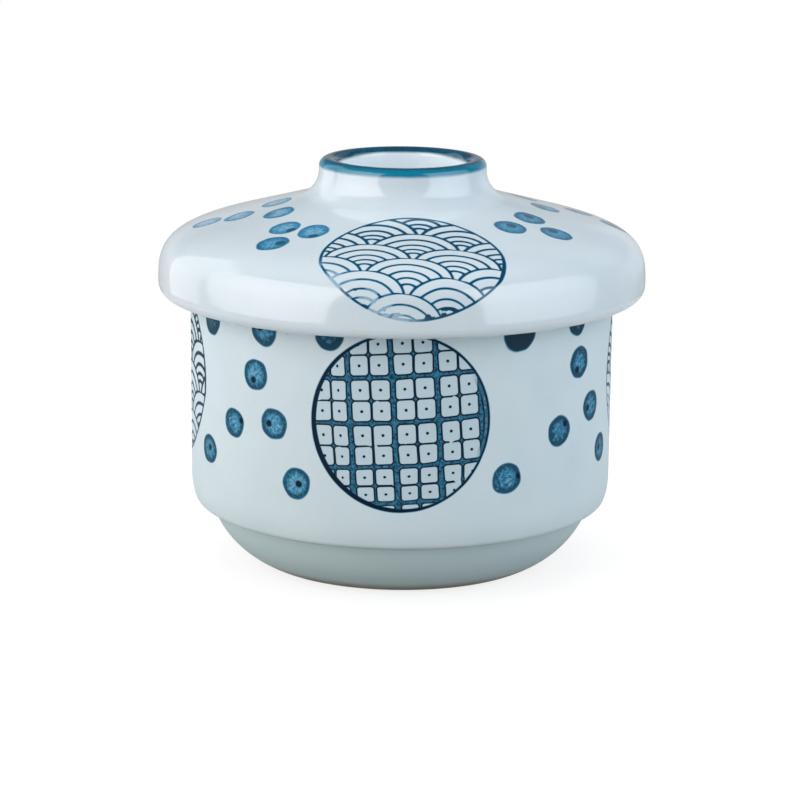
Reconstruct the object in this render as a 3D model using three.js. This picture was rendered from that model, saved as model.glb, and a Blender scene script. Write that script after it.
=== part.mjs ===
// Small lidded porcelain cup for one serving of steamed custard: a cup and a lid that lifts off.
// Lengths are in millimetres, +Z is up and the cup stands on the plane z = 0.
import * as THREE from 'three';

// Cup: outside, with the angle in radians below level at which the base's curve meets the foot
const CUP_HEIGHT = 57;
const CUP_RADIUS = 40.85;
const SHOULDER_HEIGHT = 16.3;
const SHOULDER_ROUND = 12.4;
const STEP_HEIGHT = 11.4;
const STEP_ROUND = 1.4;
const BASE_ROUND = 17.5;
const BASE_FOOT_ANGLE = 1.14;
const FOOT_RADIUS = 27.7;
const FOOT_WIDTH = 4;
const FOOT_RECESS = 1.6;
const FOOT_SLANT = 1;

// Cup: inside
const WALL = 4;
const FLOOR = 4.5;
const INSIDE_ROUND = 14;
const RIM_ROUND = 1.2;

// Lid: rim and dome, with the shoulder rounded off the corner where the dome would meet the side
const LID_OVERHANG = 6.15;
const LID_DROP = 4.9;
const LID_SIDE_HEIGHT = 3.5;
const LID_CORNER_HEIGHT = 11.2;
const LID_SHOULDER_WIDTH = 11;
const LID_SHOULDER_FULLNESS = 0.8;
const DOME_SLOPE = 0.27;
const LID_THICKNESS = 4.2;

// Lid: ring to hold it by
const RING_RADIUS = 16.1;
const RING_WIDTH = 3.7;
const RING_HEIGHT = 6.5;
const RING_ROUND = 1.6;
const RING_FILLET = 5.5;
const WELL_DEPTH = 6.4;
const WELL_FILLET = 2;

// Lid: locating flange inside the cup's mouth, and the play that lets the lid lift off
const FLANGE_DEPTH = 5;
const FLANGE_WIDTH = 2.8;
const FLANGE_CLEARANCE = 0.8;
const SKIRT_CLEARANCE = 1.4;

// Fineness of the turned surfaces
const SEGMENTS = 60;
const CURVE_STEPS = 6;

// Glaze colours: the lid is a little paler than the cup
const LID_COLOUR = '#d9e2e6';
const CUP_COLOUR = '#c9d5db';
const LID_ROUGHNESS = 0.15;
const CUP_ROUGHNESS = 0.3;

const QUARTER = Math.PI / 2;

// Solid turned about the Z axis from an outline that starts and ends on it, underside first
function turned(name, outline, colour, roughness) {
  const points = [outline.curves[0].getPoint(0)];
  for (const curve of outline.curves) {
    const steps = curve.isLineCurve ? 1 : CURVE_STEPS;
    points.push(...curve.getPoints(steps).slice(1));
  }
  const geometry = new THREE.LatheGeometry(points, SEGMENTS).rotateX(QUARTER);
  const material = new THREE.MeshStandardMaterial({ color: colour, roughness, metalness: 0 });
  const mesh = new THREE.Mesh(geometry, material);
  mesh.name = name;
  return mesh;
}

// Angle at which an arc reaches a height, on the side away from the axis
function angleAt(height, centreHeight, radius) {
  return Math.asin((height - centreHeight) / radius);
}

function makeCup() {
  const bore = CUP_RADIUS - WALL;
  const floorHeight = FOOT_RECESS + FLOOR;
  const rimHeight = CUP_HEIGHT - RIM_ROUND;
  const footInner = FOOT_RADIUS - FOOT_WIDTH;
  const baseCentre = FOOT_RADIUS - BASE_ROUND * Math.cos(BASE_FOOT_ANGLE);
  const baseCentreHeight = BASE_ROUND * Math.sin(BASE_FOOT_ANGLE);
  const baseEnd = angleAt(STEP_HEIGHT, baseCentreHeight, BASE_ROUND);
  const shoulderCentre = CUP_RADIUS - SHOULDER_ROUND;
  const stepRoundHeight = STEP_HEIGHT + STEP_ROUND;
  const stepEnd = angleAt(stepRoundHeight, SHOULDER_HEIGHT, SHOULDER_ROUND - STEP_ROUND);
  const stepCentre = shoulderCentre + (SHOULDER_ROUND - STEP_ROUND) * Math.cos(stepEnd);

  const outline = new THREE.Path();
  outline.moveTo(0, FOOT_RECESS);
  outline.lineTo(footInner - FOOT_SLANT, FOOT_RECESS);
  outline.lineTo(footInner, 0);
  outline.absarc(baseCentre, baseCentreHeight, BASE_ROUND, -BASE_FOOT_ANGLE, baseEnd);
  outline.absarc(stepCentre, stepRoundHeight, STEP_ROUND, -QUARTER, stepEnd);
  outline.absarc(shoulderCentre, SHOULDER_HEIGHT, SHOULDER_ROUND, stepEnd, 0);
  outline.absarc(CUP_RADIUS - RIM_ROUND, rimHeight, RIM_ROUND, 0, QUARTER);
  outline.absarc(bore + RIM_ROUND, rimHeight, RIM_ROUND, QUARTER, Math.PI);
  outline.absarc(bore - INSIDE_ROUND, floorHeight + INSIDE_ROUND, INSIDE_ROUND, 0, -QUARTER, true);
  outline.lineTo(0, floorHeight);
  return turned('cup', outline, CUP_COLOUR, CUP_ROUGHNESS);
}

function makeLid() {
  const lidRadius = CUP_RADIUS + LID_OVERHANG;
  const lidBottom = CUP_HEIGHT - LID_DROP;
  const skirtInner = CUP_RADIUS + SKIRT_CLEARANCE;
  const lipRound = (lidRadius - skirtInner) / 2;
  const flangeOuter = CUP_RADIUS - WALL - FLANGE_CLEARANCE;
  const flangeRound = FLANGE_WIDTH / 2;
  const flangeInner = flangeOuter - FLANGE_WIDTH;
  const flangeBottom = CUP_HEIGHT - FLANGE_DEPTH;

  const corner = new THREE.Vector2(lidRadius, lidBottom + LID_CORNER_HEIGHT);
  const domeAt = (radius) => new THREE.Vector2(radius, corner.y + DOME_SLOPE * (lidRadius - radius));
  const domeAngle = Math.atan(DOME_SLOPE);
  const side = new THREE.Vector2(lidRadius, lidBottom + LID_SIDE_HEIGHT);
  const domeEdge = domeAt(lidRadius - LID_SHOULDER_WIDTH);
  const sidePull = side.clone().lerp(corner, LID_SHOULDER_FULLNESS);
  const domePull = domeEdge.clone().lerp(corner, LID_SHOULDER_FULLNESS);

  const ringTop = domeAt(RING_RADIUS).y + RING_HEIGHT;
  const ringRoundHeight = ringTop - RING_ROUND;
  const ringInner = RING_RADIUS - RING_WIDTH;
  const wellHeight = ringTop - WELL_DEPTH;
  const underside = wellHeight - LID_THICKNESS;
  const fillet = domeAt(RING_RADIUS + RING_FILLET);
  fillet.y += RING_FILLET / Math.cos(domeAngle);

  const outline = new THREE.Path();
  outline.moveTo(0, underside);
  outline.quadraticCurveTo(flangeInner, underside, flangeInner, CUP_HEIGHT);
  outline.absarc(flangeInner + flangeRound, flangeBottom + flangeRound, flangeRound, Math.PI, 2 * Math.PI);
  outline.lineTo(flangeOuter, CUP_HEIGHT);
  outline.lineTo(skirtInner, CUP_HEIGHT);
  outline.absarc(skirtInner + lipRound, lidBottom + lipRound, lipRound, Math.PI, 2 * Math.PI);
  outline.lineTo(side.x, side.y);
  outline.bezierCurveTo(sidePull.x, sidePull.y, domePull.x, domePull.y, domeEdge.x, domeEdge.y);
  outline.absarc(fillet.x, fillet.y, RING_FILLET, -QUARTER - domeAngle, -Math.PI, true);
  outline.absarc(RING_RADIUS - RING_ROUND, ringRoundHeight, RING_ROUND, 0, QUARTER);
  outline.absarc(ringInner + RING_ROUND, ringRoundHeight, RING_ROUND, QUARTER, Math.PI);
  outline.absarc(ringInner - WELL_FILLET, wellHeight + WELL_FILLET, WELL_FILLET, 0, -QUARTER, true);
  outline.lineTo(0, wellHeight);
  return turned('lid', outline, LID_COLOUR, LID_ROUGHNESS);
}

const tureen = new THREE.Group();
tureen.name = 'small_tureen';
tureen.add(makeCup(), makeLid());

export default tureen;
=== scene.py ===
# %% [markdown]
# # A small lidded porcelain cup
#
# This lesson dresses a small straight-sided cup for one serving of steamed custard. The cup and its lid are
# two fired pieces of porcelain, painted in blue under a pale grey-blue glaze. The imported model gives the
# frame, so everything made here lies where its solid lies. Lengths are worked out in millimetres and put
# into the meshes in metres.

import bpy
import numpy as np
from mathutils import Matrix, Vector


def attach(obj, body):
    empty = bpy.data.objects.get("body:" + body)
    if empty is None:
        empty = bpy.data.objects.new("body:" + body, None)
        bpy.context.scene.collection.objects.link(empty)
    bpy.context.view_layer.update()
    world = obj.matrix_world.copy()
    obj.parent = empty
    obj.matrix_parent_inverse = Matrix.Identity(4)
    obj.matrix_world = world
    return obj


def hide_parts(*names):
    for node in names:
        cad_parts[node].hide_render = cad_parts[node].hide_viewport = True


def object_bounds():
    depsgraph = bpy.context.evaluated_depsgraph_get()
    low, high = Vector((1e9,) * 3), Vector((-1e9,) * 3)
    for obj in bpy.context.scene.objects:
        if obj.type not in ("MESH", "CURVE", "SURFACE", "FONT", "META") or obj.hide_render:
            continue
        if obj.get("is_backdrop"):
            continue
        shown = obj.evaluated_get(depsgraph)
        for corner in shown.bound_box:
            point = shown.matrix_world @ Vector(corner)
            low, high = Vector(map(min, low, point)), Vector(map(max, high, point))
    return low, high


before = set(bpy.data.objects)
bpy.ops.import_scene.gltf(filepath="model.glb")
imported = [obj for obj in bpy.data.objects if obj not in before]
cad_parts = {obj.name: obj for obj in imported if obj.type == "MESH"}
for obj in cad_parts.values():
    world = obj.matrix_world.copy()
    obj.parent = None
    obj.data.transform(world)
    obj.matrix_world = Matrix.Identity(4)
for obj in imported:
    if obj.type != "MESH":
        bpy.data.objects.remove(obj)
solid_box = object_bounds()
MM = 0.001
print("solid box", [[round(float(x), 5) for x in corner] for corner in solid_box])

# %% [markdown]
# ## The camera
#
# The photograph was taken from a little above, close enough that the near rims look rounder than the far
# ones. A camera fitted to the rims of the lid and of the step gives its height, its distance and its lens.
# The picture is taken to be 800 pixels square. The camera was held half a degree askew, so the cup seems to
# lean to the right.

# %% Place the camera
LOOK_HEIGHT = 30.27
LOOK_DISTANCE = 549.4
LOOK_DOWN = np.radians(13.406)
ASKEW = np.radians(0.5)
PICTURE_PIXELS = 800
FOCAL_PIXELS = 2808
ASIDE_PIXELS = 0.8

camera_data = bpy.data.cameras.new("camera")
camera_data.lens = FOCAL_PIXELS / PICTURE_PIXELS * camera_data.sensor_width
camera_data.shift_x = -ASIDE_PIXELS / PICTURE_PIXELS
camera_data.clip_start = 0.01
camera = bpy.data.objects.new("camera", camera_data)
camera.location = (
    0,
    -LOOK_DISTANCE * np.cos(LOOK_DOWN) * MM,
    (LOOK_HEIGHT + LOOK_DISTANCE * np.sin(LOOK_DOWN)) * MM,
)
camera.rotation_mode = "ZYX"
camera.rotation_euler = (np.pi / 2 - LOOK_DOWN, 0, ASKEW)
bpy.context.collection.objects.link(camera)
bpy.context.scene.camera = camera
print("lens", round(camera_data.lens, 2), "mm")

# %% [markdown]
# ## A turned surface
#
# Both pieces are turned: one outline, carried round the axis. The solids have 60 flat sides, which would
# show in a glossy reflection, so both are turned again here with 320. Glaze is a liquid when it is fired,
# so it rounds every corner of the clay a little. The outline is therefore walked in fine even steps and
# averaged over a short length, as the glaze does it, and then thinned so that straight stretches get long
# rows of faces and tight bends short ones.

# %% Outline tools
FINE = 0.05
CURVE_POINTS = 400
GLAZE = 0.6
LONGEST_ROW = 1.1
SHARPEST_BEND = np.radians(9)


def arc(across, up, radius, start, end):
    """Points on a circle about (across, up), from one angle in radians to the other."""
    angles = np.linspace(start, end, 2 + int(abs(end - start) * radius / FINE))
    return np.stack([across + radius * np.cos(angles), up + radius * np.sin(angles)], axis=1)


def bend(start, corner, end, fullness):
    """A cubic curve from start to end that rounds a corner off, the less the greater its fullness.

    Its two pulls lie the share fullness of the way from either end to the corner. With 2/3 it is a parabola.
    """
    start, corner, end = np.array([start, corner, end], float)
    t = np.linspace(0, 1, CURVE_POINTS)[:, None]
    near, far = start + fullness * (corner - start), end + fullness * (corner - end)
    return (1 - t) ** 3 * start + 3 * t * (1 - t) ** 2 * near + 3 * t**2 * (1 - t) * far + t**3 * end


def walk(points):
    """Distance along a line of points, from its first."""
    return np.r_[0, np.cumsum(np.hypot(*np.diff(points, axis=0).T))]


def glazed(*stretches):
    """The outline through all stretches, rounded by the glaze: each place is its mean over GLAZE of length.

    At both ends the outline is carried on past the axis as its own mirror image, so the poles stay on it.
    The places kept are those at even steps of length / LONGEST_ROW + turning / SHARPEST_BEND.
    """
    points = np.vstack(stretches)
    reach = walk(points)
    even = np.linspace(0, reach[-1], int(reach[-1] / FINE))
    r, z = np.interp(even, reach, points[:, 0]), np.interp(even, reach, points[:, 1])
    half = int(GLAZE / FINE / 2)
    r = np.r_[-r[half:0:-1], r, -r[-2 : -half - 2 : -1]]
    z = np.r_[z[half:0:-1], z, z[-2 : -half - 2 : -1]]
    mean = np.full(2 * half + 1, 1 / (2 * half + 1))
    r, z = np.convolve(r, mean, "valid"), np.convolve(z, mean, "valid")
    heading = np.unwrap(np.arctan2(np.gradient(z), np.gradient(r)))
    cost = np.cumsum(FINE / LONGEST_ROW + np.abs(np.gradient(heading)) / SHARPEST_BEND)
    steps = np.linspace(cost[0], cost[-1], int(cost[-1]))
    kept = np.stack([np.interp(steps, cost, r), np.interp(steps, cost, z)], axis=1)
    kept[[0, -1], 0] = 0
    return kept


print("rows up to", LONGEST_ROW, "mm long, and the glaze rounds over", GLAZE, "mm")

# %% The wheel
TURN = 320
angle = np.linspace(-np.pi, np.pi, TURN, endpoint=False)


def turned(name, outline):
    """A closed surface: x = r sin(a), y = -r cos(a), z = z, for the outline's r and z and all angles a.

    Angle 0 faces the camera. The first and the last point of the outline are on the axis: the poles.
    """
    r, z = outline[1:-1].T
    across, towards, up = np.outer(r, np.sin(angle)), np.outer(r, -np.cos(angle)), np.outer(z, np.ones(TURN))
    rings = np.stack([across, towards, up], axis=2)
    low, high = [0, 0, outline[0, 1]], [0, 0, outline[-1, 1]]
    places = np.vstack([low, rings.reshape(-1, 3), high]) * MM
    here = 1 + np.arange(r.size * TURN).reshape(r.size, TURN)
    beside = np.roll(here, -1, axis=1)
    first = np.stack([np.zeros(TURN, int), beside[0], here[0]], axis=1)
    middle = np.stack([here[:-1], beside[:-1], beside[1:], here[1:]], axis=2).reshape(-1, 4)
    last = np.stack([here[-1], beside[-1], np.full(TURN, len(places) - 1)], axis=1)
    mesh = bpy.data.meshes.new(name)
    mesh.from_pydata(places.tolist(), [], first.tolist() + middle.tolist() + last.tolist())
    mesh.shade_smooth()
    piece = bpy.data.objects.new(name, mesh)
    bpy.context.collection.objects.link(piece)
    print(name, len(places), "places,", len(mesh.polygons), "faces")
    return piece


print("each face is", 360 / TURN, "degrees wide")

# %% [markdown]
# ## The cup
#
# The cup is a straight wall on a rounded shoulder, with a step in to a bowl-shaped base and a foot ring. It
# is thrown or jiggered and trimmed, so its outline is a chain of arcs and straight lines. The sizes are
# those of the solid.

# %% Cup outline
CUP_HEIGHT = 57.0
CUP_RADIUS = 40.85
SHOULDER_HEIGHT = 16.3
SHOULDER_ROUND = 12.4
STEP_HEIGHT = 11.4
STEP_ROUND = 1.4
BASE_ROUND = 17.5
BASE_FOOT_ANGLE = 1.14
FOOT_RADIUS = 27.7
FOOT_WIDTH = 4.0
FOOT_RECESS = 1.6
FOOT_SLANT = 1.0
WALL = 4.0
FLOOR = 4.5
INSIDE_ROUND = 14.0
RIM_ROUND = 1.2
QUARTER = np.pi / 2

bore = CUP_RADIUS - WALL
floor_height = FOOT_RECESS + FLOOR
rim_height = CUP_HEIGHT - RIM_ROUND
foot_inner = FOOT_RADIUS - FOOT_WIDTH
base_across = FOOT_RADIUS - BASE_ROUND * np.cos(BASE_FOOT_ANGLE)
base_up = BASE_ROUND * np.sin(BASE_FOOT_ANGLE)
base_end = np.arcsin((STEP_HEIGHT - base_up) / BASE_ROUND)
shoulder_across = CUP_RADIUS - SHOULDER_ROUND
step_up = STEP_HEIGHT + STEP_ROUND
step_inset = SHOULDER_ROUND - STEP_ROUND
step_end = np.arcsin((step_up - SHOULDER_HEIGHT) / step_inset)
step_across = shoulder_across + step_inset * np.cos(step_end)

cup_outline = glazed(
    [(0, FOOT_RECESS), (foot_inner - FOOT_SLANT, FOOT_RECESS), (foot_inner, 0)],
    arc(base_across, base_up, BASE_ROUND, -BASE_FOOT_ANGLE, base_end),
    arc(step_across, step_up, STEP_ROUND, -QUARTER, step_end),
    arc(shoulder_across, SHOULDER_HEIGHT, SHOULDER_ROUND, step_end, 0),
    arc(CUP_RADIUS - RIM_ROUND, rim_height, RIM_ROUND, 0, QUARTER),
    arc(bore + RIM_ROUND, rim_height, RIM_ROUND, QUARTER, np.pi),
    arc(bore - INSIDE_ROUND, floor_height + INSIDE_ROUND, INSIDE_ROUND, 0, -QUARTER),
    [(0, floor_height)],
)
cup = turned("glazed_cup", cup_outline)

# %% [markdown]
# ## The lid
#
# The lid overhangs the cup with a thick rounded lip. A cubic curve rounds the corner between its side and
# the shallow dome, and a hollow ring stands on the dome to hold it by. Underneath, a flange drops into the
# cup's mouth.

# %% Lid outline
LID_OVERHANG = 6.15
LID_DROP = 4.9
LID_SIDE_HEIGHT = 3.5
LID_CORNER_HEIGHT = 11.2
LID_SHOULDER_WIDTH = 11.0
LID_SHOULDER_FULLNESS = 0.8
DOME_SLOPE = 0.27
LID_THICKNESS = 4.2
RING_RADIUS = 16.1
RING_WIDTH = 3.7
RING_HEIGHT = 6.5
RING_ROUND = 1.6
RING_FILLET = 5.5
WELL_DEPTH = 6.4
WELL_FILLET = 2.0
FLANGE_DEPTH = 5.0
FLANGE_WIDTH = 2.8
FLANGE_CLEARANCE = 0.8
SKIRT_CLEARANCE = 1.4
PARABOLA = 2 / 3


def dome_height(radius):
    """Height of the dome's straight slope at a distance from the axis."""
    return lip_height + LID_CORNER_HEIGHT + DOME_SLOPE * (lid_radius - radius)


lid_radius = CUP_RADIUS + LID_OVERHANG
lip_height = CUP_HEIGHT - LID_DROP
skirt = CUP_RADIUS + SKIRT_CLEARANCE
lip_round = (lid_radius - skirt) / 2
flange_outer = bore - FLANGE_CLEARANCE
flange_inner = flange_outer - FLANGE_WIDTH
flange_round = FLANGE_WIDTH / 2
flange_up = CUP_HEIGHT - FLANGE_DEPTH + flange_round
dome_edge = lid_radius - LID_SHOULDER_WIDTH
dome_angle = np.arctan(DOME_SLOPE)
fillet_across = RING_RADIUS + RING_FILLET
fillet_up = dome_height(fillet_across) + RING_FILLET / np.cos(dome_angle)
ring_inner = RING_RADIUS - RING_WIDTH
ring_top = dome_height(RING_RADIUS) + RING_HEIGHT
well_height = ring_top - WELL_DEPTH
underside = well_height - LID_THICKNESS

lid_outline = glazed(
    bend((0, underside), (flange_inner, underside), (flange_inner, CUP_HEIGHT), PARABOLA),
    arc(flange_inner + flange_round, flange_up, flange_round, np.pi, 2 * np.pi),
    [(flange_outer, CUP_HEIGHT), (skirt, CUP_HEIGHT)],
    arc(skirt + lip_round, lip_height + lip_round, lip_round, np.pi, 2 * np.pi),
    bend(
        (lid_radius, lip_height + LID_SIDE_HEIGHT),
        (lid_radius, dome_height(lid_radius)),
        (dome_edge, dome_height(dome_edge)),
        LID_SHOULDER_FULLNESS,
    ),
    arc(fillet_across, fillet_up, RING_FILLET, -QUARTER - dome_angle, -np.pi),
    arc(RING_RADIUS - RING_ROUND, ring_top - RING_ROUND, RING_ROUND, 0, QUARTER),
    arc(ring_inner + RING_ROUND, ring_top - RING_ROUND, RING_ROUND, QUARTER, np.pi),
    arc(ring_inner - WELL_FILLET, well_height + WELL_FILLET, WELL_FILLET, 0, -QUARTER),
    [(0, well_height)],
)
lid = turned("glazed_lid", lid_outline)

# %% [markdown]
# ## Where the decoration lies
#
# The painter set large roundels round the cup and small round berries between them. A flat drawing lies on
# the straight wall without stretching: its width is the length of arc and its height is height. On the lid
# it lies as a paper cone would, so the turn about the axis is eased and becomes an angle on the flattened
# cone. Every face takes the drawing whose middle is nearest, and its four corners are told their own place
# on that drawing, in millimetres. Between the corners the place changes evenly, so a drawing is as sharp as
# its formula on any mesh.

# %% Places on the nearest drawing
FAR = 99.0
STEP = 2 * np.pi / TURN


def corners(outline):
    """The middle angle of each face between two rings, and its four corners' turn from it and their ring."""
    ring, column = np.meshgrid(np.arange(len(outline) - 3), np.arange(TURN), indexing="ij")
    middle = (angle[0] + (column + 0.5) * STEP).reshape(-1, 1)
    turn = np.array([-0.5, 0.5, 0.5, -0.5]) * STEP
    return middle, turn, ring.reshape(-1, 1) + np.array([0, 0, 1, 1])


def around(middle, turn, centre):
    """Angles of the corners from each centre in degrees, wrapped by whole faces to half a turn either way."""
    return (middle - np.radians(centre)[:, None, None] + np.pi) % (2 * np.pi) - np.pi + turn


def turn_by(x, y, lean):
    """Offsets seen from a drawing that leans to the left by an angle in degrees."""
    c, s = np.cos(np.radians(lean))[:, None, None], np.sin(np.radians(lean))[:, None, None]
    return c * x + s * y, c * y - s * x


def nearest(x, y, *details):
    """The offsets of each face's corners from the nearest centre, and the details of that centre.

    x and y are arrays of centres by faces by corners; each detail has one number per centre.
    """
    best = np.argmin(np.hypot(x.mean(axis=2), y.mean(axis=2)), axis=0)
    face = np.arange(best.size)
    return x[best, face], y[best, face], *[np.repeat(detail[best], 4).reshape(-1, 4) for detail in details]


def tell(piece, name, painted_faces, *values):
    """Stores three numbers per face corner, and FAR where nothing is painted, as round the poles."""
    numbers = np.where(painted_faces[:, None, None], np.stack(values, axis=2), FAR)
    fan = np.full(3 * TURN * 3, FAR)
    layer = piece.data.attributes.new(name, "FLOAT_VECTOR", "CORNER")
    layer.data.foreach_set("vector", np.r_[fan, numbers.ravel(), fan].astype(np.float32))


def tell_berries(piece, painted_faces, x, y, berries_told):
    """Stores each face's place on the nearest berry, and its place seen from that berry's pip."""
    x, y, pip_x, pip_y, depth_and_sheen, size = nearest(x, y, *berries_told[:, 2:].T)
    tell(piece, "berry", painted_faces, x / size, y / size, depth_and_sheen)
    tell(piece, "pip", painted_faces, x / size - pip_x, y / size - pip_y, depth_and_sheen)


print("a face of the cup's wall is", round(STEP * CUP_RADIUS, 3), "mm wide")

# %% Roundels and berries on the cup
LATTICE, WAVES, OTHER_WAVES = 0.0, 1.0, 2.0
WALL_FROM = 38.0
RIGHT_TO_BACK = 92
LEFT_TO_BACK = -90
cup_r, cup_z = cup_outline[1:-1].T
middle, turn, ring = corners(cup_outline)
wall = (ring[:, 3] <= np.argmax(cup_z)) & (cup_r[ring[:, 0]] > WALL_FROM)

# Of each roundel: angle in degrees, height, lean in degrees and drawing. The last is on the unseen side.
cup_roundels = np.array([
    (0.0, 35.6, 3.3, LATTICE),
    (-87.8, 37.8, 2.0, OTHER_WAVES),
    (97.4, 37.2, -5.5, WAVES),
    (184.0, 36.0, -2.0, LATTICE),
])
centre, height, lean, drawing = cup_roundels.T
x, y = CUP_RADIUS * around(middle, turn, centre), cup_z[ring] - height[:, None, None]
tell(cup, "roundel", wall, *nearest(*turn_by(x, y, lean), drawing))

# Of each berry: angle in degrees, height, the pip's place right of and above its middle, darkness and size.
# Those on the unseen side repeat them.
seen = np.array([
    (-59.9, 50.4, -0.6, 0.8, 0.8, 1.08),
    (-38.0, 50.9, -0.9, 0.3, 0.3, 1.08),
    (-18.6, 51.3, 0.5, 0.9, 0.9, 1.0),
    (-41.0, 42.3, -0.5, -1.1, 0.1, 1.05),
    (-49.4, 32.0, 2.1, 0.8, 0.1, 1.01),
    (-34.8, 33.6, -1.1, -0.1, 0.1, 1.05),
    (-62.1, 25.0, 0.2, 0.4, 0.3, 1.02),
    (-28.0, 22.9, 0.6, 0.0, 0.05, 1.06),
    (31.8, 51.2, 0.3, 1.2, 1.6, 1.25),
    (53.2, 51.4, 0.8, 0.9, 0.9, 1.0),
    (54.6, 43.6, -0.8, -1.3, 0.3, 1.1),
    (61.1, 34.3, -1.2, -0.2, 0.3, 1.04),
    (46.3, 31.4, 1.5, 1.1, 0.3, 1.07),
    (68.3, 25.1, -0.6, 0.1, 0.4, 1.0),
    (28.5, 24.1, 2.5, 0.3, 0.1, 1.08),
])
unseen = seen + np.outer(np.where(seen[:, 0] > 0, RIGHT_TO_BACK, LEFT_TO_BACK), [1, 0, 0, 0, 0, 0])
cup_berries = np.vstack([seen, unseen])
x = CUP_RADIUS * around(middle, turn, cup_berries[:, 0])
y = cup_z[ring] - cup_berries[:, 1, None, None]
tell_berries(cup, wall, x, y, cup_berries)
print("cup:", len(cup_roundels), "roundels,", len(cup_berries), "berries")

# %% Roundels on the lid
CONE = 0.87
CONE_TIP = 13.01
DRAWING_WIDTH = 0.954
DRAWING_DROP = 1.87
DRAWING_BEND = 0.005
DRAWING_RISE = 0.2

lid_r, lid_z = lid_outline[1:-1].T
ring_row = np.argmax(lid_z)
lip_row = np.argmin(np.hypot(lid_r - skirt - lip_round, lid_z - lip_height))
middle, turn, ring = corners(lid_outline)
dome = (ring[:, 0] >= lip_row) & (ring[:, 3] <= ring_row)
along = walk(lid_outline[1:-1])
down = (along[ring_row] - along)[ring]

# Of each roundel: angle in degrees, distance of the middle from the cone's tip, lean in degrees and drawing
lid_roundels = np.array([
    (3.3, 40.82, -9.1, WAVES),
    (183.0, 40.87, 4.0, LATTICE),
])
centre, middle_reach, lean, drawing = lid_roundels.T
cone_turn = CONE * around(middle, turn, centre)
cone_reach = down + CONE_TIP
x = cone_reach * np.sin(cone_turn)
y = middle_reach[:, None, None] - cone_reach * np.cos(cone_turn)
x, y = turn_by(x, y, lean)

# The drawing was stretched on its way down over the lip, so heights are eased about a place below its middle
above = y + DRAWING_DROP
y = above * (1 - DRAWING_BEND * above) - DRAWING_RISE
tell(lid, "roundel", dome, *nearest(DRAWING_WIDTH * x, y, drawing))
print("lid:", len(lid_roundels), "roundels")

# %% Berries on the lid
BESIDE_FROM = 38
BESIDE_TO = 60
HALF_TURN = 180

# Of each berry: angle in degrees, distance down the dome from the ring's top, pip, darkness and size.
# Those beside the front roundel are repeated, mirrored, beside the back one.
# Most berries on the left get a low darkness, a painted reflection that pales them.
seen = np.array([
    (-86.0, 14.8, -0.5, 0.3, -0.6, 1.06),
    (-64.6, 16.6, -0.8, -1.2, -0.5, 1.06),
    (-46.2, 21.0, 2.0, -0.4, -0.3, 1.06),
    (-33.2, 20.7, 1.2, -1.9, -0.3, 1.06),
    (-40.6, 27.6, 1.3, 0.6, 0.1, 1.06),
    (-79.3, 22.6, 0.5, 0.9, -0.6, 1.06),
    (-83.9, 28.7, 0.6, -0.6, -0.7, 1.06),
    (44.6, 19.5, 0.7, 0.5, 0.3, 1.08),
    (61.8, 17.8, 0.8, 0.4, 0.3, 1.1),
    (57.4, 25.1, 0.5, 1.0, 0.3, 1.08),
    (90.3, 18.2, -0.6, 0.6, 0.1, 1.06),
    (103.8, 26.5, 0.4, 0.8, 0.1, 1.06),
    (95.4, 32.7, -0.9, 0.4, 0.1, 1.06),
    (108.6, 15.5, 0.9, 0.6, 0.1, 1.06),
])
aside = np.abs(seen[:, 0])
front = seen[(aside > BESIDE_FROM) & (aside < BESIDE_TO)]
unseen = front * [-1, 1, 1, 1, 1, 1] + np.outer(np.sign(front[:, 0]), [HALF_TURN, 0, 0, 0, 0, 0])
lid_berries = np.vstack([seen, unseen])
x = lid_r[ring] * around(middle, turn, lid_berries[:, 0])
y = lid_berries[:, 1, None, None] - down
tell_berries(lid, dome, x, y, lid_berries)
print("lid:", len(lid_berries), "berries")

# %% [markdown]
# ## Fields
#
# A pattern is a number worked out at each place of the surface, from 0, bare, to 1, inked. Material nodes
# can work it out, but a long formula is hard to read as nodes. A field wraps one output of a node. Adding
# or multiplying fields adds the Math nodes for it, so that a pattern can be written down as a formula.


# %% Fields and their arithmetic
def feed(slot, value):
    """Links a field to a node's input, or sets the input to a plain value."""
    if isinstance(value, Field):
        value.tree.links.new(value.socket, slot)
    else:
        slot.default_value = value


class Field:
    """A number or a place that changes over a surface; arithmetic on it adds Math nodes to its material."""

    def __init__(self, socket):
        self.socket = socket
        self.tree = socket.node.id_data

    def math(self, operation, *others):
        node = self.tree.nodes.new("ShaderNodeMath")
        node.operation = operation
        for slot, value in zip(node.inputs, (self, *others)):
            feed(slot, value)
        return Field(node.outputs[0])

    def __add__(self, other):
        return self.math("ADD", other)

    def __sub__(self, other):
        return self.math("SUBTRACT", other)

    def __mul__(self, other):
        return self.math("MULTIPLY", other)

    def __truediv__(self, other):
        return self.math("DIVIDE", other)

    def __neg__(self):
        return self * -1.0

    def __rsub__(self, other):
        return -self + other

    def root(self):
        return self.math("SQRT")

    def size(self):
        return self.math("ABSOLUTE")

    def least(self, other):
        return self.math("MINIMUM", other)

    def most(self, other):
        return self.math("MAXIMUM", other)

    def below(self, limit):
        return self.math("LESS_THAN", limit)

    def rise(self, low, high):
        """0 up to low, 1 from high on, and a smooth slope between them. With low above high it falls."""
        node = self.tree.nodes.new("ShaderNodeMapRange")
        node.interpolation_type = "SMOOTHSTEP"
        for slot, value in zip(node.inputs, (self, low, high, 0.0, 1.0)):
            feed(slot, value)
        return Field(node.outputs[0])

    __radd__ = __add__
    __rmul__ = __mul__


def length(x, y):
    """Distance from the middle: the root of x squared plus y squared."""
    return (x * x + y * y).root()


def choose(mask, yes, no):
    """The first field where the mask is 1 and the second where it is 0."""
    return no + mask * (yes - no)


def vector(x, y, z):
    """A place made of three numbers."""
    node = x.tree.nodes.new("ShaderNodeCombineXYZ")
    for slot, value in zip(node.inputs, (x, y, z)):
        feed(slot, value)
    return Field(node.outputs[0])


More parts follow.
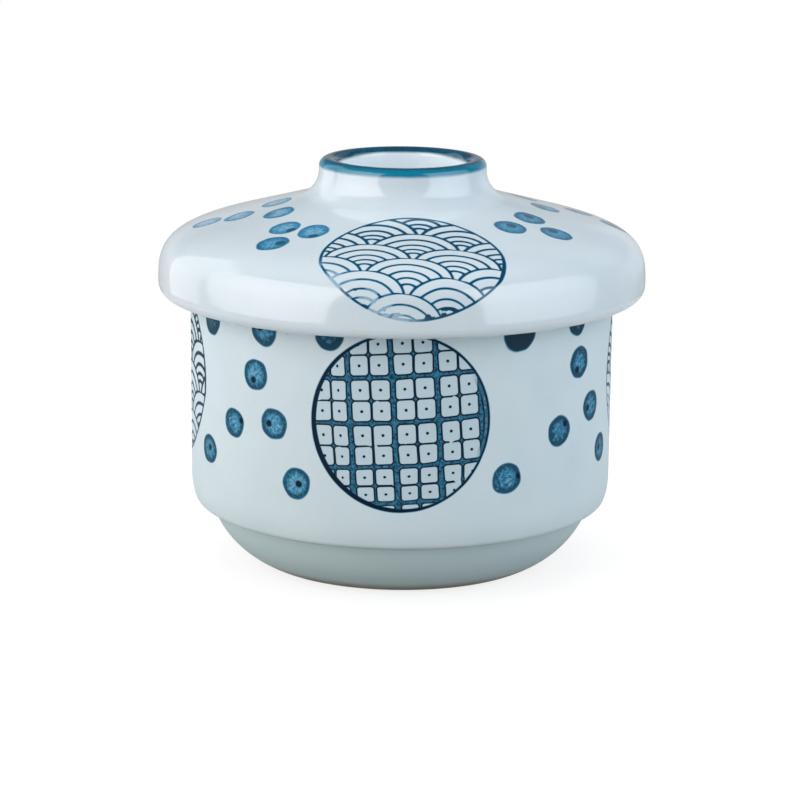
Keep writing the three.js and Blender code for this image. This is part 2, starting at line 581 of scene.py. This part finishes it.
# %% Places and textures of a material
def parts(place):
    """The three numbers of a place, as fields."""
    node = place.tree.nodes.new("ShaderNodeSeparateXYZ")
    feed(node.inputs[0], place)
    return [Field(output) for output in node.outputs]


def told(tree, name):
    """The three numbers that the face corners were told under a name, as fields."""
    node = tree.nodes.new("ShaderNodeAttribute")
    node.attribute_name = name
    return parts(Field(node.outputs["Vector"]))


def surface_place(tree):
    """The place on the piece in millimetres."""
    place = tree.nodes.new("ShaderNodeTexCoord")
    scale = tree.nodes.new("ShaderNodeVectorMath")
    scale.operation = "SCALE"
    scale.inputs["Scale"].default_value = 1 / MM
    tree.links.new(place.outputs["Object"], scale.inputs[0])
    return Field(scale.outputs[0])


def cloud(place, grain, detail=2.0, rough=0.5):
    """Soft noise from about -1 to 1, with lumps about as wide as the grain in millimetres."""
    node = place.tree.nodes.new("ShaderNodeTexNoise")
    feed(node.inputs["Vector"], place)
    node.inputs["Scale"].default_value = 1 / grain
    node.inputs["Detail"].default_value = detail
    node.inputs["Roughness"].default_value = rough
    return (Field(node.outputs["Fac"]) - 0.5) * 3.0


def linear(code):
    """A colour written as in a picture, such as #2d5a78, as the light it stands for."""
    shown = np.array([int(code[i : i + 2], 16) for i in (1, 3, 5)]) / 255
    light = np.where(shown <= 0.04045, shown / 12.92, ((shown + 0.055) / 1.055) ** 2.4)
    return (*light.tolist(), 1.0)


def tint(under, over, amount):
    """One colour laid over another by an amount from 0 to 1."""
    node = amount.tree.nodes.new("ShaderNodeMix")
    node.data_type = "RGBA"
    feed(node.inputs[0], amount)
    feed(node.inputs[6], under)
    feed(node.inputs[7], over)
    return Field(node.outputs[2])


print("a middle grey of a picture, #808080, is", round(linear("#808080")[0], 3), "of white light")

# %% [markdown]
# ## The painted patterns
#
# All three drawings are old shared ones. A lattice of squares has a seed in each square, and thick bars
# every second square. Waves are rows of fans, each a set of rings inside one oval, where a lower row covers
# the row above it. Berries are round dabs of the brush with a dark pip. Each pattern gives two fields: wash
# is the thin middle blue and ink is the dark line. The blue bleeds a little into the glaze, so wash reaches
# further than ink. The painter's hand shows as a slow wander of the lines and as breaks in the thin ones.

# %% The lattice
BAR_ACROSS = 8.1
BAR_UP = 8.45
CELL_CORNER = 0.6
FIRST_BAR_ACROSS = -1.15
FIRST_BAR_UP = 0.22
SQUEEZED_LEFT = -9.2
SQUEEZED_BELOW = -4.0
SEED_UP = 1.95


def lattice(x, y, hand, fleck, broken):
    """Blocks of four rounded squares.

    The place in a block is folded about its middle lines, so one rounded square stands for all four. Its
    edge is the signed distance to a rounded box: positive in the bars. The lowest row and the left column
    are squeezed, as the painter ran out of room, and the lower bars are a little thicker.
    """
    low = (SQUEEZED_BELOW - y).most(0.0)
    left = (SQUEEZED_LEFT - x).most(0.0).least(3.3)
    rows = (y - FIRST_BAR_UP) / BAR_UP - low * low * 0.0018
    columns = (x - FIRST_BAR_ACROSS) / BAR_ACROSS - left * left * 0.0088
    across = (columns.math("FRACT") - 0.5).size() * BAR_ACROSS
    up = (rows.math("FRACT") - 0.5).size() * BAR_UP
    thin_across, thin_up = 0.23, 0.15 - broken * 0.45
    thick_across, thick_up = 0.58 + hand * 0.08, 0.48 + hand * 0.08
    half_across = (BAR_ACROSS / 2 - thick_across - thin_across) / 2
    half_up = (BAR_UP / 2 - thick_up - thin_up) / 2
    from_across = across - half_across - thin_across
    from_up = up - half_up - thin_up
    box_across = (from_across.size() - half_across + CELL_CORNER).most(0.0)
    box_up = (from_up.size() - half_up + CELL_CORNER).most(0.0)
    edge = length(box_across, box_up) - CELL_CORNER + low * 0.012
    bars = edge.rise(-0.09, 0.05)
    ink = bars * edge.rise(0.45, 0.2).most(fleck * 0.7 + 0.56)
    seed = length(from_across, up - SEED_UP).rise(0.36, 0.22)
    return bars.most(0.18), ink.most(seed)


print("lattice blocks", BAR_ACROSS, "by", BAR_UP, "mm")

# %% The waves
FAN_WIDE = 7.37
FAN_TALL = 6.71
FAN_APART = 7.63
FAN_ROW = 4.91
FAN_DROP = 1.9
FIRST_FAN_ACROSS = 0.1
FIRST_FAN_UP = -0.27
RING_FROM = 7.2
RING_BEND = 12.0
RING_GAP = 6.3
LAST_RING = 3.0
BLEED = 0.2


def brushed(distance, half_width):
    """Wash and ink of a line, by the distance from its middle. Wash bleeds into the glaze beside the ink."""
    return distance.rise(half_width + BLEED, half_width), distance.rise(half_width + 0.12, half_width - 0.1)


def fan_row(x, y, row):
    """Offsets from the nearest fan of a row. Rows lie FAN_ROW apart, and odd rows move by half a fan."""
    odd = row.math("FLOORED_MODULO", 2.0)
    return (x - odd * FAN_APART).math("WRAP", FAN_APART, -FAN_APART), y - row * FAN_ROW


def fan_edge(across, up):
    """Distance to the outline of a fan, an oval: below 0 inside it."""
    return length(across, up * (FAN_WIDE / FAN_TALL)) - FAN_WIDE


def waves(x, y, thick):
    """Fans of rings, where the lowest row that reaches a place covers the others.

    With r the distance from a point FAN_DROP below the fan's middle, the rings lie where
    RING_FROM - root(RING_BEND + RING_GAP r) is 0, 1, 2 or 3, so they are closer and flatter towards the
    middle, and only above that point. The line drawn is the nearest of a ring and of the outline of this fan
    or of one in front, and corners between them fill with colour.
    """
    x, y = x - FIRST_FAN_ACROSS, y - FIRST_FAN_UP + FAN_TALL
    lowest = ((y - FAN_TALL) / FAN_ROW).math("CEIL")
    places = [fan_row(x, y, lowest + float(k)) for k in range(3)]
    front, second = [fan_edge(*place) for place in places[:2]]
    in_front, in_second = front.below(0.0), second.below(0.0)
    across, up = [choose(in_front, a, choose(in_second, b, c)) for a, b, c in zip(*places)]
    up = up + FAN_DROP
    flat = length(across, up).rise(0.3, 4.0) * 0.4 + 0.6
    spread = (length(across * flat, up) * RING_GAP + RING_BEND).root()
    rings = RING_FROM - spread
    beside = (rings - rings.math("ROUND").most(0.0).least(LAST_RING)).size()
    ring = beside * spread / (RING_GAP / 2) + up.below(0.0) * FAR
    outline = front.size().least(second.size() + in_front * FAR)
    line = ring.math("SMOOTH_MIN", outline, 0.4)
    return brushed(line, (y - FAN_TALL) * 0.006 + thick)


print("fans", 2 * FAN_APART, "mm apart in a row, rows", FAN_ROW, "mm apart")

# %% The berries
BERRY = 2.85


def berries(place, strong, pip_size):
    """A dab of blue: thin and streaky between its middle and its pip, thick at its rim and away from the pip.

    Streaks are noise that changes fast with the bearing from the pip and slowly with the distance from it.
    Strong is how far the paint changes within a dab. The pip fades on dabs paled as a painted reflection.
    """
    x, y, depth_and_sheen = told(place.tree, "berry")
    pip_x, pip_y, _ = told(place.tree, "pip")
    away = length(pip_x, pip_y)
    dab = length(x, y) + cloud(place, 4.0, 1.0) * 0.3
    bearing = pip_y.math("ARCTAN2", pip_x)
    streak = cloud(vector(bearing * 4.0, away * 1.2, depth_and_sheen * 40.0 + x * 0.05), 1.0, 2.0, 0.6)
    mottle = cloud(place, 0.6, 2.0, 0.6)
    middle = length(x - pip_x * 0.25, y - pip_y * 0.25).rise(2.6, 0.8)
    rim = dab.rise(BERRY - 1.6, BERRY - 0.3) * 0.48
    far = away.rise(1.2, 4.6) * 0.45
    grains = cloud(place, 0.42, 0.0).rise(0.35, 0.7) * away.rise(1.8, 3.6) * 0.5
    uneven = streak * (middle * 0.6 + 0.25) + mottle * 0.36
    # A low darkness pales a dab. On the lid's left this is a painted reflection, and there the pip and the
    # thinnest paint fade too.
    paint = (rim + far + depth_and_sheen + uneven - middle * 0.48 - grains + 0.38) * strong + 1.0
    inside, inked = dab.rise(BERRY + 0.12, BERRY - 0.12), dab.rise(BERRY + 0.02, BERRY - 0.28)
    plain = (depth_and_sheen * 2.4 + 1.7).least(1.0)
    mark = (away + streak * 0.25).rise(pip_size * 1.25, pip_size * 0.8) * plain
    ink = (paint - 1.0).most(0.0).least(depth_and_sheen * 0.09 + 0.78).most(mark * (0.55 + 0.45 * strong))
    thin = (depth_and_sheen * 0.4 + 0.76).least(0.78)
    return paint.most(thin).least(1.0).most(mark) * inside, ink * inked


print("berries about", 2 * BERRY, "mm across")

# %% [markdown]
# ## The glazes
#
# The pale grey-blue of the glaze isn't even. It pools a little greener where it is thick, carries a fine
# grain, and shows a few dark iron specks. The lid is glossy, and the cup's wall has a satin finish. The
# painting lies under the glaze, so it changes the colour and not the gloss.

# %% What all glazes share
SPECK = linear("#6d6a60")
SPECKS_APART = 5.0
WAVINESS = 0.02
OTHER_ACROSS = 1.86
OTHER_UP = 2.97


def glaze(name, thin, thick, roughness, grain_depth=1.0):
    """A new material of uneven colour, with iron specks and faint waves, and the fields to paint it with."""
    material = bpy.data.materials.new(name)
    material.use_nodes = True
    tree = material.node_tree
    shader = tree.nodes["Principled BSDF"]
    place = surface_place(tree)
    pool = cloud(place, 9.0, 3.0) * 0.28 + cloud(place, 0.45, 2.0) * (0.16 * grain_depth)
    colour = tint(linear(thin), linear(thick), (pool + 0.5).most(0.0).least(1.0))
    cells = tree.nodes.new("ShaderNodeTexVoronoi")
    feed(cells.inputs["Vector"], place)
    cells.inputs["Scale"].default_value = 1 / SPECKS_APART
    rare = tree.nodes.new("ShaderNodeSeparateColor")
    tree.links.new(cells.outputs["Color"], rare.inputs[0])
    dot = Field(cells.outputs["Distance"]).rise(0.035, 0.015) * Field(rare.outputs[0]).rise(0.62, 0.68)
    colour = tint(colour, SPECK, dot * 0.6)
    gloss = cloud(place, 4.0, 3.0) * (0.12 * roughness) + roughness
    feed(shader.inputs["Roughness"], gloss)
    bump = tree.nodes.new("ShaderNodeBump")
    bump.inputs["Distance"].default_value = WAVINESS * MM
    bump.inputs["Strength"].default_value = 0.35
    feed(bump.inputs["Height"], cloud(place, 6.0, 1.0) + cloud(place, 0.9, 1.0) * 0.1)
    tree.links.new(bump.outputs[0], shader.inputs["Normal"])
    return material, tree, shader, place, colour


def painted(tree, place, roundel_radius, border_line, wave_line, strong, pip_size):
    """Wash and ink of the roundel and the berry nearest to each place.

    A line runs round each roundel. Round the lattice it is heavy on the left, and on the right it is two
    lines with wash between them. Waves swell into blots at the lower edge and are worn pale at the lower
    left. The second drawing of waves is the same one, cut elsewhere.
    """
    hand = cloud(place, 5.0, 2.0)
    wander = cloud(place, 7.0, 1.0) * 0.16
    fleck = cloud(place, 0.5, 2.0, 0.6)
    broken = cloud(place, 1.7, 0.0).rise(0.5, 0.56)
    x, y, drawing = told(tree, "roundel")
    is_wave, is_other = drawing.rise(0.4, 0.6), drawing.rise(1.4, 1.6)
    narrow = (-3.0 - y).most(0.0) * is_wave * 0.012 + 1.0
    deep = roundel_radius - length(x * narrow, y) + hand * 0.06
    inside, inked = deep.rise(-0.14, 0.04), deep.rise(-0.02, 0.12)

    wash, ink = lattice(x + wander, y - wander, hand, fleck, broken)
    patchy = (fleck * 0.4 + 0.9).most(0.0).least(1.0)
    double = (x / roundel_radius).rise(0.8, 0.93) * deep.rise(1.4, 1.2) * patchy
    wash = wash.most(double)
    ink = choose(double, (deep - 0.65).size().rise(0.15, 0.45).most(fleck * 0.4 + 0.5), ink)

    lower_edge = (-7.0 - y).rise(0.0, 3.0) * deep.rise(2.6, 1.0) * is_wave
    blots = cloud(place, 1.8, 0.0).rise(0.1, 0.5) * lower_edge * 0.4
    wave_x, wave_y = x + wander + is_other * OTHER_ACROSS, y - wander + is_other * OTHER_UP
    wave_wash, wave_ink = waves(wave_x, wave_y, blots + wave_line)
    wash, ink = choose(is_wave, wave_wash, wash), choose(is_wave, wave_ink, ink)

    heavy_left = ((x * -0.93 - y * 0.37) / roundel_radius).most(0.0) * 0.6
    heavy_right = (x / roundel_radius).rise(0.92, 1.0) * 0.5
    width = choose(is_wave, heavy_right, heavy_left) + hand * 0.1 + blots * 0.6 + border_line
    border_wash, border_ink = brushed(deep, width)
    wash, ink = wash.most(border_wash), ink.most(border_ink)
    rubbed = cloud(place, 2.2, 1.0).rise(0.35, -0.1) * is_wave
    worn = (x * -0.55 - y * 0.8).rise(8.5, 12.5) * rubbed * ink
    wash, ink = wash - worn * 0.55, ink - worn * 0.85
    dab, dark = berries(place, strong, pip_size)
    return (wash * inside).most(dab), (ink * inked).most(dark)


# %% The cup's satin glaze
CUP_WASH, CUP_INK = linear("#3d86aa"), linear("#03192c")
cup_glaze, tree, shader, place, colour = glaze("satin_cup_glaze", "#c3d1d8", "#b6c8d0", 0.4)
shader.inputs["Specular IOR Level"].default_value = 0.08
_, _, height = parts(place)
base = height.rise(STEP_HEIGHT + 0.2, STEP_HEIGHT - 0.6) * 0.8
# A thin darker line in the corner under the step is painted shade.
step_shade = height.rise(STEP_HEIGHT - 1.0, STEP_HEIGHT - 0.2) * height.rise(STEP_HEIGHT + 0.3, STEP_HEIGHT) * 0.6
# The glazed base is darker and browner towards the bottom, over its lowest 2.6 mm.
warm_dark_bottom = height.rise(2.6, 0.2) * 0.85
colour = tint(colour, linear("#aabec3"), base)
colour = tint(colour, linear("#76868a"), step_shade)
colour = tint(colour, linear("#6f6049"), warm_dark_bottom)
wash, ink = painted(
    tree, place, roundel_radius=16.77, border_line=0.46, wave_line=0.27, strong=1.0, pip_size=0.62
)
feed(shader.inputs["Base Color"], tint(tint(colour, CUP_WASH, wash), CUP_INK, ink))
print("cup glaze", len(tree.nodes), "nodes")

# %% The lid's glossy glaze
LID_WASH, LID_INK = linear("#3d8cb2"), linear("#003a54")
lid_glaze, tree, shader, place, colour = glaze("glossy_lid_glaze", "#c7d3db", "#bac9d2", 0.1)
shader.inputs["Specular IOR Level"].default_value = 0.75
wash, ink = painted(
    tree, place, roundel_radius=15.6, border_line=0.44, wave_line=0.21, strong=0.6, pip_size=0.95
)

# The ring's band: it ends on the outside below the rim, and inside on the rim, sooner at the front
ring_middle = RING_RADIUS - RING_WIDTH / 2
px, py, pz = parts(place)
edge = cloud(place, 4.0, 2.0)
grain = cloud(place, 0.5, 1.0) * 0.2
out = length(px, py)
front = (-py / out.most(1.0)).rise(0.4, 1.0)
sides = (px / out.most(1.0)).size().rise(0.3, 1.0)
outer = (pz + edge * 0.08).rise(ring_top - 1.9, ring_top - 1.1)
over_rim = (pz + sides * 0.5).rise(ring_top - 1.3, ring_top - 0.6)
inner = (out - front * 1.7).rise(ring_inner - 0.3, ring_inner + 0.2) * over_rim
darker = out.rise(RING_RADIUS - 0.1, RING_RADIUS - 1.5) * (edge * 0.15 + 0.9) + grain
band = tint(linear("#007391"), linear("#003e56"), darker)
# Inside the ring the colour is paler, from the inner rounding down into the well. This is a painted highlight
# on the inner edge, where the glaze also breaks white, and painted light in the well.
colour = tint(colour, linear("#d6e1e8"), out.rise(ring_inner + 1.0, ring_inner + 0.2))
colour = tint(colour, band, choose(out.rise(ring_middle - 0.25, ring_middle + 0.15), outer, inner))
feed(shader.inputs["Base Color"], tint(tint(colour, LID_WASH, wash), LID_INK, ink))
print("lid glaze", len(tree.nodes), "nodes")

# %% [markdown]
# ## Inside and underneath
#
# The inside is glazed plain white-blue and glossy, so that food comes off it. In the kiln the cup stands on
# its foot ring and the lid on its seat, so both are wiped bare and show the matt, slightly warm clay.

# %% Plain inner glaze and bare clay
inner_glaze, tree, shader, place, colour = glaze("inner_glaze", "#d6dfe3", "#c9d5da", 0.14)
feed(shader.inputs["Base Color"], colour)

bare_clay, tree, shader, place, colour = glaze("bare_clay", "#cfc8ba", "#b9ae9c", 0.75, 2.5)
feed(shader.inputs["Base Color"], colour)
print("plain finishes:", inner_glaze.name, "and", bare_clay.name)


# %% Which rows have which finish
def dress(piece, outline, *finishes):
    """Gives every row of faces its finish: each finish is a material and a mask of the outline's rows."""
    rows = np.zeros(len(outline) - 1, int)
    for number, (material, mask) in enumerate(finishes):
        piece.data.materials.append(material)
        rows[mask] = number
    numbers = np.repeat(rows, TURN).astype(np.int32)
    piece.data.polygons.foreach_set("material_index", numbers)
    print(piece.name, {m.name: int((numbers == k).sum()) for k, (m, _) in enumerate(finishes)})


def middles(outline):
    """Radius and height of the middle of each row of faces, and the row's number."""
    between = (outline[1:] + outline[:-1]) / 2
    return between[:, 0], between[:, 1], np.arange(len(between))


r, z, row = middles(cup_outline)
inside_cup = row > np.argmax(cup_outline[:, 1]) + 3
recess = (z < FOOT_RECESS + 0.4) & (r < foot_inner - FOOT_SLANT - 0.2)
foot_face = (z < 0.35) & (r > foot_inner - FOOT_SLANT - 0.2)
dress(cup, cup_outline, (cup_glaze, slice(None)), (inner_glaze, inside_cup | recess), (bare_clay, foot_face))

r, z, row = middles(lid_outline)
under = row < np.argmin(np.hypot(lid_outline[:, 0] - skirt, lid_outline[:, 1] - CUP_HEIGHT))
seat = under & (z < CUP_HEIGHT + 0.2) & (r > flange_outer - 0.85)
dress(lid, lid_outline, (lid_glaze, slice(None)), (inner_glaze, under), (bare_clay, seat))

# %% [markdown]
# ## On their bodies
#
# The cup stands still and the lid lifts off. Each dressed piece rides on its body and stands in for the
# solid of the same name, so a pose moves it as it moves the solid.

# %% Put the pieces on their bodies
for piece, name in ((cup, "cup"), (lid, "lid")):
    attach(piece, name)
    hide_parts(name)
    print(piece.name, "rides on", name)

# %% [markdown]
# ## Floor and light
#
# Two wide soft boxes stand left and right of the camera, a warm one and a cooler, dimmer one. Each is
# turned a little, so that it fades towards one end, and the gap between them shows in the glossy lid.
# Smaller and dimmer boxes stand further back on both sides, and one above lights the dome and isn't seen in
# reflections. The floor is a round table top, white to the camera and duller as a source of light, so that
# the base of the cup stays darker than its wall. In reflections the room is dim with a paler backdrop low
# behind the cup, because a white room all round would wash out the painting on the lid.

# %% Soft boxes
scene = bpy.context.scene
scene.view_settings.view_transform = "Standard"
AIM_HEIGHT = 0.05
WARM, COOL, WHITE = (1.0, 0.955, 0.925), (0.93, 0.985, 1.05), (1.0, 1.0, 1.0)


def soft_box(name, bearing, rise, width, height, brightness, colour, turn=0.0, spread=170.0, distance=1.2):
    """A rectangular lamp that faces the cup, or is turned away from it to fade towards one end.

    Brightness is its light per area straight ahead, where 1 is a white page. At an angle to that, the light
    falls off evenly with the tangent of the angle and ends at half the spread. Angles are in degrees and
    lengths in metres.
    """
    lamp = bpy.data.lights.new(name, "AREA")
    lamp.shape = "RECTANGLE"
    lamp.size, lamp.size_y = width, height
    lamp.spread = np.radians(spread)
    end = np.tan(lamp.spread / 2)
    lamp.energy = brightness * np.pi * width * height * (end - lamp.spread / 2) / end
    lamp.color = colour
    box = bpy.data.objects.new(name, lamp)
    bearing, rise, turn = np.radians([bearing, rise, turn])
    box.location = (
        distance * np.cos(rise) * np.sin(bearing),
        -distance * np.cos(rise) * np.cos(bearing),
        AIM_HEIGHT + distance * np.sin(rise),
    )
    box.rotation_euler = (np.pi / 2 - rise, 0, bearing + turn)
    box.visible_camera = False
    bpy.context.collection.objects.link(box)
    print(name, round(lamp.energy, 2), "W")
    return box


wide = {"height": 1.45, "spread": 120}
soft_box("left_box", bearing=-74, rise=17, width=1.7, brightness=3.5, colour=WARM, turn=20, **wide)
soft_box("right_box", bearing=76, rise=17, width=1.6, brightness=2.7, colour=COOL, turn=-20, **wide)
soft_box("far_left_box", bearing=-122, rise=16, width=0.7, height=1.3, brightness=0.9, colour=WARM)
soft_box("back_right_box", bearing=150, rise=16, width=0.8, height=1.0, brightness=0.2, colour=COOL)
top_box = soft_box(
    "top_box", bearing=180, rise=76, width=1.2, height=1.2, brightness=1.72, colour=WHITE, distance=1.1
)
top_box.visible_glossy = False


# %% The room
def rays(tree):
    """Two fields: 1 for rays from the camera, and 1 for reflected or refracted rays; otherwise both are 0."""
    path = tree.nodes.new("ShaderNodeLightPath")
    mirrored = Field(path.outputs["Is Glossy Ray"]).most(Field(path.outputs["Is Transmission Ray"]))
    return Field(path.outputs["Is Camera Ray"]), mirrored


ROOM_LIGHT = 0.3
ROOM_MIRRORED = 0.1
BELOW_MIRRORED = 0.25
BACKDROP_MIRRORED = 0.35
world = bpy.data.worlds.new("studio")
scene.world = world
world.use_nodes = True
tree = world.node_tree
sky = tree.nodes["Background"]
sky.inputs["Color"].default_value = (1, 1, 1, 1)
direction = tree.nodes.new("ShaderNodeTexCoord")
_, beyond, up = parts(Field(direction.outputs["Generated"]))
below = up.below(0.0) * BELOW_MIRRORED
backdrop = up.rise(0.32, 0.12) * beyond.rise(0.2, 0.7) * BACKDROP_MIRRORED
direct, mirrored = rays(tree)
white = direct * (1 - ROOM_LIGHT) + ROOM_LIGHT
feed(sky.inputs["Strength"], choose(mirrored, below.most(backdrop) + ROOM_MIRRORED, white))
print("room", len(tree.nodes), "nodes")

# %% The floor
FLOOR_RADIUS = 210.0
FLOOR_DROP = 0.2
FLOOR_SIDES = 128

floor_paint = bpy.data.materials.new("pale_floor")
floor_paint.use_nodes = True
tree = floor_paint.node_tree
shader = tree.nodes["Principled BSDF"]
shader.inputs["Roughness"].default_value = 0.9
shader.inputs["Specular IOR Level"].default_value = 0.0
direct, mirrored = rays(tree)
feed(shader.inputs["Base Color"], tint(linear("#bdbbb5"), linear("#8c8c8c"), direct.most(mirrored)))
shader.inputs["Emission Color"].default_value = (1, 1, 1, 1)
feed(shader.inputs["Emission Strength"], direct * 0.8 + mirrored * 0.4)

bearing = np.linspace(0, 2 * np.pi, FLOOR_SIDES, endpoint=False)
places = np.stack([np.cos(bearing), np.sin(bearing), np.zeros(FLOOR_SIDES)], axis=1) * FLOOR_RADIUS * MM
floor_mesh = bpy.data.meshes.new("floor")
floor_mesh.from_pydata(places.tolist(), [], [tuple(range(FLOOR_SIDES))])
floor = bpy.data.objects.new("floor", floor_mesh)
floor.location.z = -FLOOR_DROP * MM
floor_mesh.materials.append(floor_paint)
bpy.context.collection.objects.link(floor)
floor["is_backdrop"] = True
print("floor", FLOOR_RADIUS, "mm in radius")

# %% [markdown]
# ## The size
#
# The dressed pieces must stay inside the box of the solids, so both boxes are printed side by side.

# %% Sizes
boxes = {"cad": solid_box, "visual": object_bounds()}
boxes = {name: [[float(x) for x in corner] for corner in box] for name, box in boxes.items()}
print(boxes)
